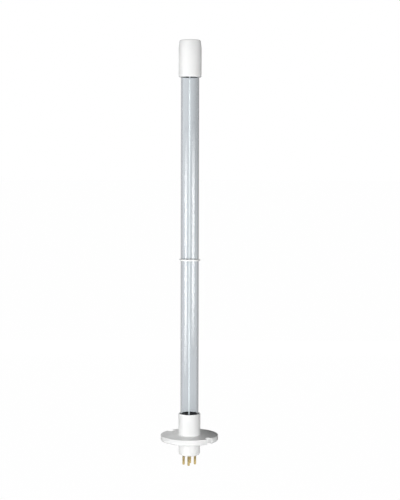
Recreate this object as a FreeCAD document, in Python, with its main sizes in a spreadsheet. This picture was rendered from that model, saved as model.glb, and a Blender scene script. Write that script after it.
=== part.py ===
import FreeCAD, Part
import math
import os

import Sketcher

# Single-ended ultraviolet lamp, in millimetres, upright.
# The origin is the centre of the pin pattern on the base's bottom face, +Z runs up the tube,
# and the two flange notches lie on +X and -X.

DRIVING_SIZES = (
    ("tube_diameter", "16"),
    ("tube_wall", "1"),
    ("clear_length", "296.4"),
    ("shoulder_length", "3.6"),
    ("pinch_length", "9"),
    ("pinch_inset", "1"),
    ("pinch_thickness", "3"),
    ("throat_wall", "0.7"),
    ("throat_side_wall", "1.5"),
    ("filament_setback", "7"),
    ("coil_diameter", "1.6"),
    ("coil_wire", "0.3"),
    ("coil_pitch", "0.8"),
    ("coil_clearance", "0.05"),
    ("support_spacing", "6"),
    ("support_diameter", "0.6"),
    ("support_reach", "1.2"),
    ("foil_width", "2.4"),
    ("foil_length", "6"),
    ("foil_thickness", "0.1"),
    ("weld_lap", "1"),
    ("weld_gap", "0.01"),
    ("seal_clearance", "0.03"),
    ("lead_diameter", "0.6"),
    ("lead_clearance", "0.05"),
    ("lead_spacing", "0.75"),
    ("lead_azimuth", "138"),
    ("lead_bend", "1"),
    ("lead_exit", "0.7"),
    ("lead_entry", "1.4"),
    ("lead_dip", "2.5"),
    ("return_fan", "2.9"),
    ("return_drop", "1.8"),
    ("return_entry", "2.25"),
    ("collar_wall", "1"),
    ("collar_height", "19"),
    ("mouth_rounding", "0.3"),
    ("flange_diameter", "51"),
    ("flange_thickness", "5"),
    ("flange_rounding", "0.6"),
    ("flange_foot_rounding", "1.4"),
    ("notch_width", "5.8"),
    ("notch_depth", "5"),
    ("boss_wall", "1.9"),
    ("boss_height", "13.2"),
    ("boss_rounding", "2"),
    ("chamber_clearance", "0.6"),
    ("floor_thickness", "6"),
    ("wiring_space", "4.5"),
    ("step_drop", "2.5"),
    ("pin_diameter", "2.2"),
    ("pin_length", "9"),
    ("pin_spacing_x", "6.35"),
    ("pin_spacing_y", "7.92"),
    ("pin_neck_diameter", "1.8"),
    ("pin_head_diameter", "3.2"),
    ("pin_head_height", "1"),
    ("pin_bore", "1"),
    ("solder_space", "1.5"),
    ("pin_rounding", "0.7"),
    ("pin_clearance", "0.02"),
    ("cap_height", "32.2"),
    ("cap_wall", "1.3"),
    ("cap_roof", "2"),
    ("cap_shoulder_drop", "7"),
    ("cap_shoulder_inset", "0.8"),
    ("cap_rounding", "1.5"),
    ("crimp_rise", "3"),
    ("crimp_length", "3"),
    ("crimp_wall", "0.25"),
    ("crimp_headroom", "1"),
    ("ring_height", "1.6"),
    ("ring_wall", "0.5"),
    ("ring_rise", "135.8"),
    ("ring_rounding", "0.3"),
    ("cement_setback", "0.1"),
    ("cement_length", "5"),
    ("cement_clearance", "0.02"),
    ("ring_cement_setback", "0.15"),
    ("pellet_radius", "1.5"),
    ("pellet_drop", "9"),
)

# Places along the tube and radii, worked out from the driving sizes.
FLOOR_TOP = "Sizes.floor_thickness"
FLANGE_TOP = "(Sizes.boss_height + Sizes.flange_thickness)"
MOUTH = f"({FLANGE_TOP} + Sizes.collar_height)"
CAP_MOUTH = f"({MOUTH} + Sizes.clear_length)"
CAP_TOP = f"({CAP_MOUTH} + Sizes.cap_height)"
ROOF = f"({CAP_TOP} - Sizes.cap_roof)"
TUBE_RADIUS = "(Sizes.tube_diameter / 2)"
TUBE_BORE = f"({TUBE_RADIUS} - Sizes.tube_wall)"
LEAD_TRACK = f"({TUBE_RADIUS} + Sizes.lead_clearance + Sizes.lead_diameter / 2)"
SOCKET_RADIUS = f"({TUBE_RADIUS} + Sizes.lead_diameter + 2 * Sizes.lead_clearance)"
PINCH_WIDTH = "(Sizes.tube_diameter - 2 * Sizes.pinch_inset)"
CHAMBER_RADIUS = f"({PINCH_WIDTH} / 2 + Sizes.chamber_clearance)"
BOSS_RADIUS = f"({CHAMBER_RADIUS} + Sizes.boss_wall)"
COLLAR_RADIUS = f"({SOCKET_RADIUS} + Sizes.collar_wall)"
CAP_RADIUS = f"({SOCKET_RADIUS} + Sizes.cap_wall)"
RING_RADIUS = f"({SOCKET_RADIUS} + Sizes.ring_wall)"
LEAD_SLOT_HALF = "(Sizes.lead_spacing / 2 + Sizes.lead_diameter / 2 + 2 * Sizes.lead_clearance)"
WIRE_SHIFT = "(Sizes.foil_thickness / 2 + Sizes.support_diameter / 2 + Sizes.weld_gap)"

RING_BOTTOM = f"({MOUTH} + Sizes.ring_rise)"
RING_TOP = f"({RING_BOTTOM} + Sizes.ring_height)"
LOWER_PINCH = f"({FLOOR_TOP} + Sizes.wiring_space)"
# Where the socket in the base narrows to the chamber that holds the pinch.
STEP = f"({LOWER_PINCH} + Sizes.pinch_length - Sizes.step_drop)"
UPPER_PINCH = f"({ROOF} - Sizes.crimp_headroom - Sizes.crimp_length - Sizes.crimp_rise)"
# Where the leads end inside their crimps and inside their pins.
CRIMP_END = f"({UPPER_PINCH} + Sizes.crimp_rise + Sizes.crimp_length - Sizes.lead_clearance)"
PIN_END = f"({FLOOR_TOP} - Sizes.lead_dip)"
# Each end of the tube: where its pinch starts, and the way that points out of the tube.
ENDS = {"lower": (LOWER_PINCH, -1), "upper": (UPPER_PINCH, 1)}
PIN_CORNERS = ((1, 1), (-1, 1), (-1, -1), (1, -1))

document = FreeCAD.newDocument("UltravioletLamp")
sheet = document.addObject("Spreadsheet::Sheet", "Sizes")
for row, (alias, number) in enumerate(DRIVING_SIZES, start=1):
    sheet.set(f"A{row}", alias)
    sheet.set(f"B{row}", number)
    sheet.setAlias(f"B{row}", alias)
document.recompute()


def value(expression):
    """Number that an expression of the sheet's sizes gives."""
    return float(sheet.evalExpression(expression))


def inward(end, distance):
    """Place along Z that lies a distance into the tube from an end's pinch."""
    start, way = ENDS[end]
    return f"({start} {'-' if way > 0 else '+'} ({distance}))"


def new_body(label):
    """Empty body with its label."""
    body = document.addObject("PartDesign::Body", label)
    body.Label = label
    return body


def new_sketch(body, plane, name, rise="0"):
    """Sketch on one of the body's own origin planes, raised along its normal."""
    sketch = body.newObject("Sketcher::SketchObject", name)
    support = next(f for f in body.Origin.OriginFeatures if f.Role == plane)
    sketch.AttachmentSupport = [(support, "")]
    sketch.MapMode = "FlatFace"
    sketch.setExpression("AttachmentOffset.Base.z", rise)
    return sketch


def hold(sketch, kind, first, first_end, second, second_end, expression):
    """Dimension between two points of a sketch, bound to an expression."""
    index = sketch.addConstraint(
        Sketcher.Constraint(kind, first, first_end, second, second_end, value(expression))
    )
    sketch.setExpression(f"Constraints[{index}]", expression)


def pin_point(sketch, curve, end, across, along):
    """Hold a sketch point at two expressions from the sketch's origin."""
    for kind, expression, axis in (("DistanceX", across, -2), ("DistanceY", along, -1)):
        if expression == "0":
            sketch.addConstraint(Sketcher.Constraint("PointOnObject", curve, end, axis))
        else:
            hold(sketch, kind, -1, 1, curve, end, expression)


def add_outline(sketch, points):
    """Closed outline of straight edges through points given as pairs of expressions."""
    first = sketch.GeometryCount
    corners = [FreeCAD.Vector(value(across), value(along), 0) for across, along in points]
    count = len(corners)
    for index, corner in enumerate(corners):
        sketch.addGeometry(Part.LineSegment(corner, corners[(index + 1) % count]), False)
    for index, (across, along) in enumerate(points):
        following = first + (index + 1) % count
        sketch.addConstraint(Sketcher.Constraint("Coincident", first + index, 2, following, 1))
        pin_point(sketch, first + index, 1, across, along)


def add_circle(sketch, radius, across="0", along="0"):
    """Circle held by its centre and radius."""
    centre = FreeCAD.Vector(value(across), value(along), 0)
    circle = Part.Circle(centre, FreeCAD.Vector(0, 0, 1), value(radius))
    curve = sketch.addGeometry(circle, False)
    index = sketch.addConstraint(Sketcher.Constraint("Radius", curve, value(radius)))
    sketch.setExpression(f"Constraints[{index}]", radius)
    pin_point(sketch, curve, 3, across, along)


def add_slot(sketch, radius, half_length, centre=("0", "0"), upright=True):
    """Slot with round ends: two arcs of one radius joined by two straight sides."""
    middle = FreeCAD.Vector(value(centre[0]), value(centre[1]), 0)
    reach = value(half_length) - value(radius)
    way = FreeCAD.Vector(0, 1, 0) if upright else FreeCAD.Vector(1, 0, 0)
    up = FreeCAD.Vector(0, 0, 1)
    far = Part.Circle(middle + way * reach, up, value(radius))
    near = Part.Circle(middle - way * reach, up, value(radius))
    turn = -math.pi / 2 if not upright else 0.0
    far_arc = Part.ArcOfCircle(far, turn, turn + math.pi)
    near_arc = Part.ArcOfCircle(near, turn + math.pi, turn + 2 * math.pi)
    one = sketch.addGeometry(far_arc, False)
    two = sketch.addGeometry(Part.LineSegment(far_arc.EndPoint, near_arc.StartPoint), False)
    three = sketch.addGeometry(near_arc, False)
    four = sketch.addGeometry(Part.LineSegment(near_arc.EndPoint, far_arc.StartPoint), False)
    for first, second in ((one, two), (two, three), (three, four), (four, one)):
        sketch.addConstraint(Sketcher.Constraint("Tangent", first, 2, second, 1))
    sketch.addConstraint(Sketcher.Constraint("Equal", one, three))
    index = sketch.addConstraint(Sketcher.Constraint("Radius", one, value(radius)))
    sketch.setExpression(f"Constraints[{index}]", radius)
    shift = f"({half_length} - {radius})"
    for curve, sign in ((one, "+"), (three, "-")):
        across = centre[0] if upright else f"{centre[0]} {sign} {shift}"
        along = f"{centre[1]} {sign} {shift}" if upright else centre[1]
        pin_point(sketch, curve, 3, across, along)


def add_pad(body, sketch, length, name):
    """Pad that rises along the sketch's normal."""
    pad = body.newObject("PartDesign::Pad", name)
    pad.Profile = sketch
    pad.setExpression("Length", length)
    body.Tip = pad
    return pad


def add_pocket(body, sketch, length, name, rising=True):
    """Pocket that cuts along the sketch's normal, or against it."""
    pocket = body.newObject("PartDesign::Pocket", name)
    pocket.Profile = sketch
    pocket.setExpression("Length", length)
    pocket.Reversed = rising
    body.Tip = pocket
    return pocket


def add_turn(body, points, name):
    """Solid turned about Z from a profile of radius and height pairs."""
    sketch = new_sketch(body, "XZ_Plane", f"{name}Profile")
    add_outline(sketch, points)
    turned = body.newObject("PartDesign::Revolution", name)
    turned.Profile = sketch
    turned.ReferenceAxis = (sketch, ["V_Axis"])
    turned.Angle = 360
    body.Tip = turned
    return turned


def add_fillet(body, base, picks, radius, name):
    """Fillet on the circular edges of given radius and height."""
    document.recompute()
    edges = []
    for index, edge in enumerate(base.Shape.Edges, start=1):
        box = edge.BoundBox
        for reach, height in picks:
            level = abs(box.ZMax - value(height)) + abs(box.ZMin - value(height))
            curve = edge.Curve
            round_edge = isinstance(curve, Part.Circle) and abs(curve.Radius - value(reach)) < 1e-4
            if level < 1e-4 and round_edge and abs(curve.Center.x) + abs(curve.Center.y) < 1e-4:
                edges.append(f"Edge{index}")
    fillet = body.newObject("PartDesign::Fillet", name)
    fillet.Base = (base, edges)
    fillet.setExpression("Radius", radius)
    body.Tip = fillet
    return fillet


def add_lead_gap(body, rise, length, name):
    """Radial slot at the return leads' azimuth, from inside the bore out to the socket wall."""
    sketch = new_sketch(body, "XY_Plane", f"{name}Outline", rise)
    turn = FreeCAD.Rotation(FreeCAD.Vector(0, 0, 1), value("Sizes.lead_azimuth"))
    sketch.AttachmentOffset = FreeCAD.Placement(FreeCAD.Vector(0, 0, value(rise)), turn)
    sketch.setExpression("AttachmentOffset.Rotation.Angle", "Sizes.lead_azimuth")
    add_outline(
        sketch,
        (
            (TUBE_BORE, f"-{LEAD_SLOT_HALF}"),
            (SOCKET_RADIUS, f"-{LEAD_SLOT_HALF}"),
            (SOCKET_RADIUS, LEAD_SLOT_HALF),
            (TUBE_BORE, LEAD_SLOT_HALF),
        ),
    )
    return add_pocket(body, sketch, length, name)


def build_tube():
    """Clear tube, drawn down to a flat pinch seal at each end, hollow between the seals."""
    body = new_body("quartz_tube")
    lower_start = inward("lower", "Sizes.pinch_length + Sizes.shoulder_length")
    upper_start = inward("upper", "Sizes.pinch_length + Sizes.shoulder_length")
    barrel_length = f"({upper_start} - {lower_start})"
    pinch_half = f"({PINCH_WIDTH} / 2)"
    throat_half = f"({PINCH_WIDTH} / 2 - Sizes.throat_side_wall)"
    throat_radius = "(Sizes.pinch_thickness / 2 - Sizes.throat_wall)"
    barrel = new_sketch(body, "XY_Plane", "BarrelOutline", lower_start)
    add_circle(barrel, TUBE_RADIUS)
    add_pad(body, barrel, barrel_length, "Barrel")
    for end, (start, way) in ENDS.items():
        title = end.capitalize()
        neck = inward(end, "Sizes.pinch_length")
        shoulder = inward(end, "Sizes.pinch_length + Sizes.shoulder_length")
        wide = new_sketch(body, "XY_Plane", f"{title}ShoulderWide", shoulder)
        add_circle(wide, TUBE_RADIUS)
        narrow = new_sketch(body, "XY_Plane", f"{title}ShoulderNarrow", neck)
        add_slot(narrow, "(Sizes.pinch_thickness / 2)", pinch_half)
        loft = body.newObject("PartDesign::AdditiveLoft", f"{title}Shoulder")
        loft.Profile = wide
        loft.Sections = [narrow]
        loft.Ruled = True
        body.Tip = loft
        low = start if way < 0 else neck
        flat = new_sketch(body, "XY_Plane", f"{title}PinchOutline", low)
        add_slot(flat, "(Sizes.pinch_thickness / 2)", pinch_half)
        add_pad(body, flat, "Sizes.pinch_length", f"{title}Pinch")
    bore = new_sketch(body, "XY_Plane", "BoreOutline", lower_start)
    add_circle(bore, TUBE_BORE)
    add_pocket(body, bore, barrel_length, "Bore")
    for end in ENDS:
        title = end.capitalize()
        wide = new_sketch(
            body, "XY_Plane", f"{title}ThroatWide", inward(end, "Sizes.pinch_length + Sizes.shoulder_length")
        )
        add_circle(wide, TUBE_BORE)
        narrow = new_sketch(body, "XY_Plane", f"{title}ThroatNarrow", inward(end, "Sizes.pinch_length"))
        add_slot(narrow, throat_radius, throat_half)
        throat = body.newObject("PartDesign::SubtractiveLoft", f"{title}Throat")
        throat.Profile = wide
        throat.Sections = [narrow]
        throat.Ruled = True
        body.Tip = throat
    for end in ENDS:
        cut_seal_ways(body, end)
    return body


def seal_levels(end):
    """Where a pinch's foils begin and end, as distances into the tube from its pinch."""
    outer = "((Sizes.pinch_length - Sizes.foil_length) / 2)"
    return outer, f"({outer} + Sizes.foil_length)"


def cut_seal_ways(body, end):
    """Cavities that the pinch keeps round its foils, its outer leads and its support wires."""
    title = end.capitalize()
    outer, inner = seal_levels(end)
    rising = ENDS[end][1] < 0
    wire_hole = "(Sizes.support_diameter / 2 + Sizes.seal_clearance)"
    lead_hole = "(Sizes.lead_diameter / 2 + Sizes.seal_clearance)"
    half = "Sizes.support_spacing / 2"
    ways = new_sketch(body, "XY_Plane", f"{title}LeadHoles", ENDS[end][0])
    for side in ("", "-"):
        add_circle(ways, lead_hole, WIRE_SHIFT, f"{side}{half}")
    add_pocket(body, ways, f"({outer} + Sizes.weld_lap + Sizes.seal_clearance)", f"{title}LeadWays", rising)
    wire_end = inward(end, f"{inner} - Sizes.weld_lap - Sizes.seal_clearance")
    holes = new_sketch(body, "XY_Plane", f"{title}SupportHoles", wire_end)
    for side in ("", "-"):
        add_circle(holes, wire_hole, WIRE_SHIFT, f"{side}{half}")
    depth = f"(Sizes.pinch_length - {inner} + Sizes.weld_lap + Sizes.seal_clearance)"
    add_pocket(body, holes, depth, f"{title}SupportWays", rising)
    slots = new_sketch(
        body, "XY_Plane", f"{title}FoilSlots", inward(end, f"{outer} - Sizes.seal_clearance")
    )
    across = "(Sizes.foil_thickness / 2 + Sizes.seal_clearance)"
    along = "(Sizes.foil_width / 2 + Sizes.seal_clearance)"
    for side in (1, -1):
        points = [
            (f"({x} * {across})", f"({side} * {half} + {y} * {along})")
            for x, y in ((-1, -1), (1, -1), (1, 1), (-1, 1))
        ]
        add_outline(slots, points)
    add_pocket(body, slots, "(Sizes.foil_length + 2 * Sizes.seal_clearance)", f"{title}FoilWays", rising)


def build_base():
    """White moulding: collar, notched flange and lower boss, bored for the tube and the pins."""
    body = new_body("lamp_base")
    outline = (
        ("0", "0"),
        (BOSS_RADIUS, "0"),
        (BOSS_RADIUS, "Sizes.boss_height"),
        ("Sizes.flange_diameter / 2", "Sizes.boss_height"),
        ("Sizes.flange_diameter / 2", FLANGE_TOP),
        (COLLAR_RADIUS, FLANGE_TOP),
        (COLLAR_RADIUS, MOUTH),
        (SOCKET_RADIUS, MOUTH),
        (SOCKET_RADIUS, STEP),
        (CHAMBER_RADIUS, STEP),
        (CHAMBER_RADIUS, FLOOR_TOP),
        ("0", FLOOR_TOP),
    )
    turned = add_turn(body, outline, "BaseTurned")
    upper_edge = (("Sizes.flange_diameter / 2", FLANGE_TOP),)
    rim = add_fillet(body, turned, upper_edge, "Sizes.flange_rounding", "FlangeRounding")
    lower_edge = (("Sizes.flange_diameter / 2", "Sizes.boss_height"),)
    under = add_fillet(body, rim, lower_edge, "Sizes.flange_foot_rounding", "FlangeFootRounding")
    foot = add_fillet(body, under, ((BOSS_RADIUS, "0"),), "Sizes.boss_rounding", "BossRounding")
    mouth_edges = ((COLLAR_RADIUS, MOUTH), (SOCKET_RADIUS, MOUTH))
    add_fillet(body, foot, mouth_edges, "Sizes.mouth_rounding", "MouthRounding")
    notch = new_sketch(body, "XY_Plane", "NotchOutline", "Sizes.boss_height")
    half = "(Sizes.notch_width / 2)"
    reach = "(Sizes.notch_depth + Sizes.notch_width / 2)"
    centre = f"(Sizes.flange_diameter / 2 - Sizes.notch_depth + {reach})"
    add_slot(notch, half, reach, (centre, "0"), upright=False)
    cut = add_pocket(body, notch, "Sizes.flange_thickness", "Notch")
    document.recompute()
    pair = body.newObject("PartDesign::PolarPattern", "NotchPair")
    pair.Originals = [cut]
    pair.Axis = (notch, ["N_Axis"])
    pair.Angle = 360
    pair.Occurrences = 2
    body.Tip = pair
    holes = new_sketch(body, "XY_Plane", "PinHoles")
    seats = new_sketch(body, "XY_Plane", "PinSeats", f"({FLOOR_TOP} - Sizes.pin_head_height)")
    for x, y in PIN_CORNERS:
        across = f"({x} * Sizes.pin_spacing_x / 2)"
        along = f"({y} * Sizes.pin_spacing_y / 2)"
        add_circle(holes, "(Sizes.pin_neck_diameter / 2 + Sizes.pin_clearance)", across, along)
        add_circle(seats, "(Sizes.pin_head_diameter / 2 + Sizes.pin_clearance)", across, along)
    add_pocket(body, holes, FLOOR_TOP, "PinWays")
    add_pocket(body, seats, "Sizes.pin_head_height", "PinCounterbores")
    return body


def build_pin(number, corner):
    """Brass pin: shank under the base's bottom, neck through its floor, riveted head with a solder cup."""
    body = new_body(f"contact_pin_{number}")
    shank = "(Sizes.pin_diameter / 2)"
    neck = "(Sizes.pin_neck_diameter / 2)"
    under_head = f"({FLOOR_TOP} - Sizes.pin_head_height)"
    cup_bottom = f"({PIN_END} - Sizes.solder_space)"
    outline = (
        ("0", "-Sizes.pin_length"),
        (shank, "-Sizes.pin_length"),
        (shank, "0"),
        (neck, "0"),
        (neck, under_head),
        ("(Sizes.pin_head_diameter / 2)", under_head),
        ("(Sizes.pin_head_diameter / 2)", FLOOR_TOP),
        ("(Sizes.pin_bore / 2)", FLOOR_TOP),
        ("(Sizes.pin_bore / 2)", cup_bottom),
        ("0", cup_bottom),
    )
    turned = add_turn(body, outline, f"PinTurned{number}")
    add_fillet(body, turned, ((shank, "-Sizes.pin_length"),), "Sizes.pin_rounding", f"PinTip{number}")
    body.setExpression("Placement.Base.x", f"{corner[0]} * Sizes.pin_spacing_x / 2")
    body.setExpression("Placement.Base.y", f"{corner[1]} * Sizes.pin_spacing_y / 2")
    return body


def build_cap():
    """White cap with a blind bore, a slightly tapered shoulder and a rounded top edge."""
    body = new_body("top_cap")
    crown_radius = f"({CAP_RADIUS} - Sizes.cap_shoulder_inset)"
    outline = (
        (SOCKET_RADIUS, CAP_MOUTH),
        (CAP_RADIUS, CAP_MOUTH),
        (CAP_RADIUS, f"({CAP_TOP} - Sizes.cap_shoulder_drop)"),
        (crown_radius, CAP_TOP),
        ("0", CAP_TOP),
        ("0", ROOF),
        (SOCKET_RADIUS, ROOF),
    )
    turned = add_turn(body, outline, "CapTurned")
    crown = add_fillet(body, turned, ((crown_radius, CAP_TOP),), "Sizes.cap_rounding", "CapRounding")
    mouth_edges = ((CAP_RADIUS, CAP_MOUTH), (SOCKET_RADIUS, CAP_MOUTH))
    add_fillet(body, crown, mouth_edges, "Sizes.mouth_rounding", "CapMouth")
    return body


def build_ring():
    """Thin band round the tube that holds the return leads against it."""
    body = new_body("centre_ring")
    outline = (
        (SOCKET_RADIUS, RING_BOTTOM),
        (RING_RADIUS, RING_BOTTOM),
        (RING_RADIUS, RING_TOP),
        (SOCKET_RADIUS, RING_TOP),
    )
    turned = add_turn(body, outline, "RingTurned")
    rims = ((RING_RADIUS, RING_BOTTOM), (RING_RADIUS, RING_TOP))
    add_fillet(body, turned, rims, "Sizes.ring_rounding", "RingRounding")
    return body


def build_cement(label, low, length):
    """Cement between the tube and what it holds, open where the return leads pass."""
    body = new_body(label)
    high = f"({low} + {length})"
    inner = f"({TUBE_RADIUS} + Sizes.cement_clearance)"
    outer = f"({SOCKET_RADIUS} - Sizes.cement_clearance)"
    add_turn(body, ((inner, low), (outer, low), (outer, high), (inner, high)), f"{label}_turned")
    add_lead_gap(body, low, length, f"{label}_gap")
    return body


def build_crimp(number, side):
    """Oval sleeve that holds a return lead against an upper outer lead."""
    body = new_body(f"crimp_sleeve_{number}")
    low = f"({UPPER_PINCH} + Sizes.crimp_rise)"
    pair_gap = "Sizes.weld_gap"
    inner = "(Sizes.lead_diameter / 2 + Sizes.lead_clearance)"
    inner_half = f"(Sizes.lead_diameter + {pair_gap} / 2 + Sizes.lead_clearance)"
    between = f"({WIRE_SHIFT} - (Sizes.lead_diameter + {pair_gap}) / 2)"
    centre = (between, f"({side} * Sizes.support_spacing / 2)")
    outer = f"({inner} + Sizes.crimp_wall)"
    outer_half = f"({inner_half} + Sizes.crimp_wall)"
    outer_outline = new_sketch(body, "XY_Plane", f"CrimpOuter{number}", low)
    add_slot(outer_outline, outer, outer_half, centre, upright=False)
    add_pad(body, outer_outline, "Sizes.crimp_length", f"Crimp{number}")
    inner_outline = new_sketch(body, "XY_Plane", f"CrimpInner{number}", low)
    add_slot(inner_outline, inner, inner_half, centre, upright=False)
    add_pocket(body, inner_outline, "Sizes.crimp_length", f"CrimpHole{number}")
    return body


def build_supports_and_foils(end):
    """Support wires and foils of one end, either side of the axis."""
    way = ENDS[end][1]
    outer, inner = seal_levels(end)
    inside = inward(end, f"{inner} - Sizes.weld_lap")
    filament = filament_level(end)
    tip = f"({filament} {'+' if way < 0 else '-'} Sizes.support_reach)"
    for number, side in enumerate((1, -1), start=1):
        wire = document.addObject("Part::Cylinder", f"{end}_support_{number}")
        wire.Label = f"{end}_support_{number}"
        wire.setExpression("Radius", "Sizes.support_diameter / 2")
        wire.setExpression("Height", f"{tip} - {inside}" if way < 0 else f"{inside} - {tip}")
        wire.setExpression("Placement.Base.x", WIRE_SHIFT)
        wire.setExpression("Placement.Base.y", f"{side} * Sizes.support_spacing / 2")
        wire.setExpression("Placement.Base.z", inside if way < 0 else tip)
        foil = document.addObject("Part::Box", f"{end}_foil_{number}")
        foil.Label = f"{end}_foil_{number}"
        foil.setExpression("Length", "Sizes.foil_thickness")
        foil.setExpression("Width", "Sizes.foil_width")
        foil.setExpression("Height", "Sizes.foil_length")
        foil.setExpression("Placement.Base.x", "-Sizes.foil_thickness / 2")
        foil.setExpression("Placement.Base.y", f"{side} * Sizes.support_spacing / 2 - Sizes.foil_width / 2")
        foil.setExpression("Placement.Base.z", inward(end, outer if way < 0 else inner))


def filament_level(end):
    """Height of an end's filament."""
    return inward(end, "Sizes.pinch_length + Sizes.shoulder_length + Sizes.filament_setback")


def build_filament(end):
    """Tungsten coil that lies between the two supports."""
    length = (
        "(Sizes.support_spacing - Sizes.support_diameter - Sizes.coil_wire - 2 * Sizes.coil_clearance)"
    )
    helix = document.addObject("Part::Helix", f"{end}_coil_line")
    helix.setExpression("Radius", "(Sizes.coil_diameter - Sizes.coil_wire) / 2")
    helix.setExpression("Pitch", "Sizes.coil_pitch")
    helix.setExpression("Height", length)
    section = document.addObject("Part::Circle", f"{end}_coil_section")
    section.setExpression("Radius", "Sizes.coil_wire / 2")
    section.Placement = FreeCAD.Placement(
        FreeCAD.Vector(0, 0, 0), FreeCAD.Rotation(FreeCAD.Vector(1, 0, 0), 90)
    )
    section.setExpression("Placement.Base.x", "(Sizes.coil_diameter - Sizes.coil_wire) / 2")
    coil = document.addObject("Part::Sweep", f"{end}_filament")
    coil.Label = f"{end}_filament"
    coil.Sections = [section]
    coil.Spine = (helix, ["Edge1"])
    coil.Solid = True
    coil.Frenet = True
    coil.Placement = FreeCAD.Placement(
        FreeCAD.Vector(0, 0, 0), FreeCAD.Rotation(FreeCAD.Vector(1, 0, 0), -90)
    )
    coil.setExpression("Placement.Base.x", WIRE_SHIFT)
    coil.setExpression("Placement.Base.y", f"-{length} / 2")
    coil.setExpression("Placement.Base.z", filament_level(end))


def rounded_path(points, bend):
    """Straight runs through the points, joined by tangent arcs of one bend radius."""
    edges = []
    last = points[0]
    for before, corner, after in zip(points, points[1:], points[2:]):
        into = (corner - before).normalize()
        out = (after - corner).normalize()
        turn = into.getAngle(out)
        setback = bend * math.tan(turn / 2)
        enter = corner - into * setback
        leave = corner + out * setback
        towards = (out - into).normalize()
        depth = bend * (1 / math.cos(turn / 2) - 1)
        edges.append(Part.LineSegment(last, enter).toShape())
        edges.append(Part.Arc(enter, corner + towards * depth, leave).toShape())
        last = leave
    edges.append(Part.LineSegment(last, points[-1]).toShape())
    return Part.Wire(edges)


def build_wire(label, points):
    """Round wire bent along the points, with its volume checked against its length."""
    diameter = value("Sizes.lead_diameter")
    spots = [FreeCAD.Vector(*(value(number) for number in point)) for point in points]
    path = rounded_path(spots, value("Sizes.lead_bend"))
    circle = Part.Circle(spots[0], (spots[1] - spots[0]).normalize(), diameter / 2)
    solid = path.makePipeShell([Part.Wire([circle.toShape()])], True, True)
    expected = math.pi * diameter**2 / 4 * path.Length
    if abs(solid.Volume - expected) > 0.02 * expected:
        raise ValueError(f"{label}: volume {solid.Volume:.3f}, expected {expected:.3f}")
    wire = document.addObject("Part::Feature", label)
    wire.Label = label
    wire.Shape = solid
    wire.Placement = FreeCAD.Placement()


def build_outer_leads():
    """Leads from the pinches: the lower pair to the +X pins, the upper pair to the crimps."""
    outer = seal_levels("lower")[0]
    for number, side in enumerate((1, -1), start=1):
        beside = f"({side} * Sizes.support_spacing / 2)"
        pin_x = "(Sizes.pin_spacing_x / 2)"
        pin_y = f"({side} * Sizes.pin_spacing_y / 2)"
        build_wire(
            f"lower_outer_lead_{number}",
            (
                (WIRE_SHIFT, beside, inward("lower", f"{outer} + Sizes.weld_lap")),
                (WIRE_SHIFT, beside, f"({LOWER_PINCH} - Sizes.lead_exit)"),
                (pin_x, pin_y, f"({FLOOR_TOP} + Sizes.lead_entry)"),
                (pin_x, pin_y, PIN_END),
            ),
        )
        wire = document.addObject("Part::Cylinder", f"upper_outer_lead_{number}")
        wire.Label = f"upper_outer_lead_{number}"
        start = inward("upper", f"{outer} + Sizes.weld_lap")
        wire.setExpression("Radius", "Sizes.lead_diameter / 2")
        wire.setExpression("Height", f"{CRIMP_END} - {start}")
        wire.setExpression("Placement.Base.x", WIRE_SHIFT)
        wire.setExpression("Placement.Base.y", beside)
        wire.setExpression("Placement.Base.z", start)


def build_return_leads():
    """Coated leads from the crimps, down the back of the tube and into the -X pins."""
    bend = "(Sizes.pinch_length + Sizes.shoulder_length / 2)"
    half_angle = math.degrees(math.asin(value("Sizes.lead_spacing") / 2 / value(LEAD_TRACK)))
    for number, side in enumerate((1, -1), start=1):
        azimuth = math.radians(value("Sizes.lead_azimuth") - side * half_angle)
        track_x = f"({LEAD_TRACK} * ({math.cos(azimuth):.9f}))"
        track_y = f"({LEAD_TRACK} * ({math.sin(azimuth):.9f}))"
        beside = f"({side} * Sizes.support_spacing / 2)"
        crimped_x = f"({WIRE_SHIFT} - Sizes.lead_diameter - Sizes.weld_gap)"
        clear_x = "(-Sizes.pinch_thickness / 2 - Sizes.lead_diameter)"
        pin_x = "(-Sizes.pin_spacing_x / 2)"
        pin_y = f"({side} * Sizes.pin_spacing_y / 2)"
        chamber_x = f"(-{CHAMBER_RADIUS} + 2 * Sizes.lead_diameter + Sizes.chamber_clearance)"
        chamber_y = "Sizes.return_fan" if side > 0 else "0"
        build_wire(
            f"return_lead_{number}",
            (
                (crimped_x, beside, CRIMP_END),
                (crimped_x, beside, f"({UPPER_PINCH} + Sizes.crimp_rise - Sizes.lead_diameter)"),
                (clear_x, beside, f"({UPPER_PINCH} + Sizes.lead_diameter / 2)"),
                (track_x, track_y, inward("upper", bend)),
                (track_x, track_y, inward("lower", bend)),
                (chamber_x, chamber_y, f"({STEP} - Sizes.return_drop)"),
                (pin_x, pin_y, f"({FLOOR_TOP} + Sizes.return_entry)"),
                (pin_x, pin_y, PIN_END),
            ),
        )


def build_pellet():
    """Small amalgam dome bonded to the tube's inner wall, inside the collar."""
    dome = document.addObject("Part::Sphere", "pellet_ball")
    dome.setExpression("Radius", "Sizes.pellet_radius")
    dome.setExpression("Placement.Base.x", TUBE_BORE)
    dome.setExpression("Placement.Base.z", f"{MOUTH} - Sizes.pellet_drop")
    space = document.addObject("Part::Cylinder", "pellet_space")
    space.setExpression("Radius", f"{TUBE_BORE} - Sizes.cement_clearance")
    space.setExpression("Height", MOUTH)
    pellet = document.addObject("Part::Common", "amalgam_pellet")
    pellet.Label = "amalgam_pellet"
    pellet.Base = dome
    pellet.Tool = space


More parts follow.
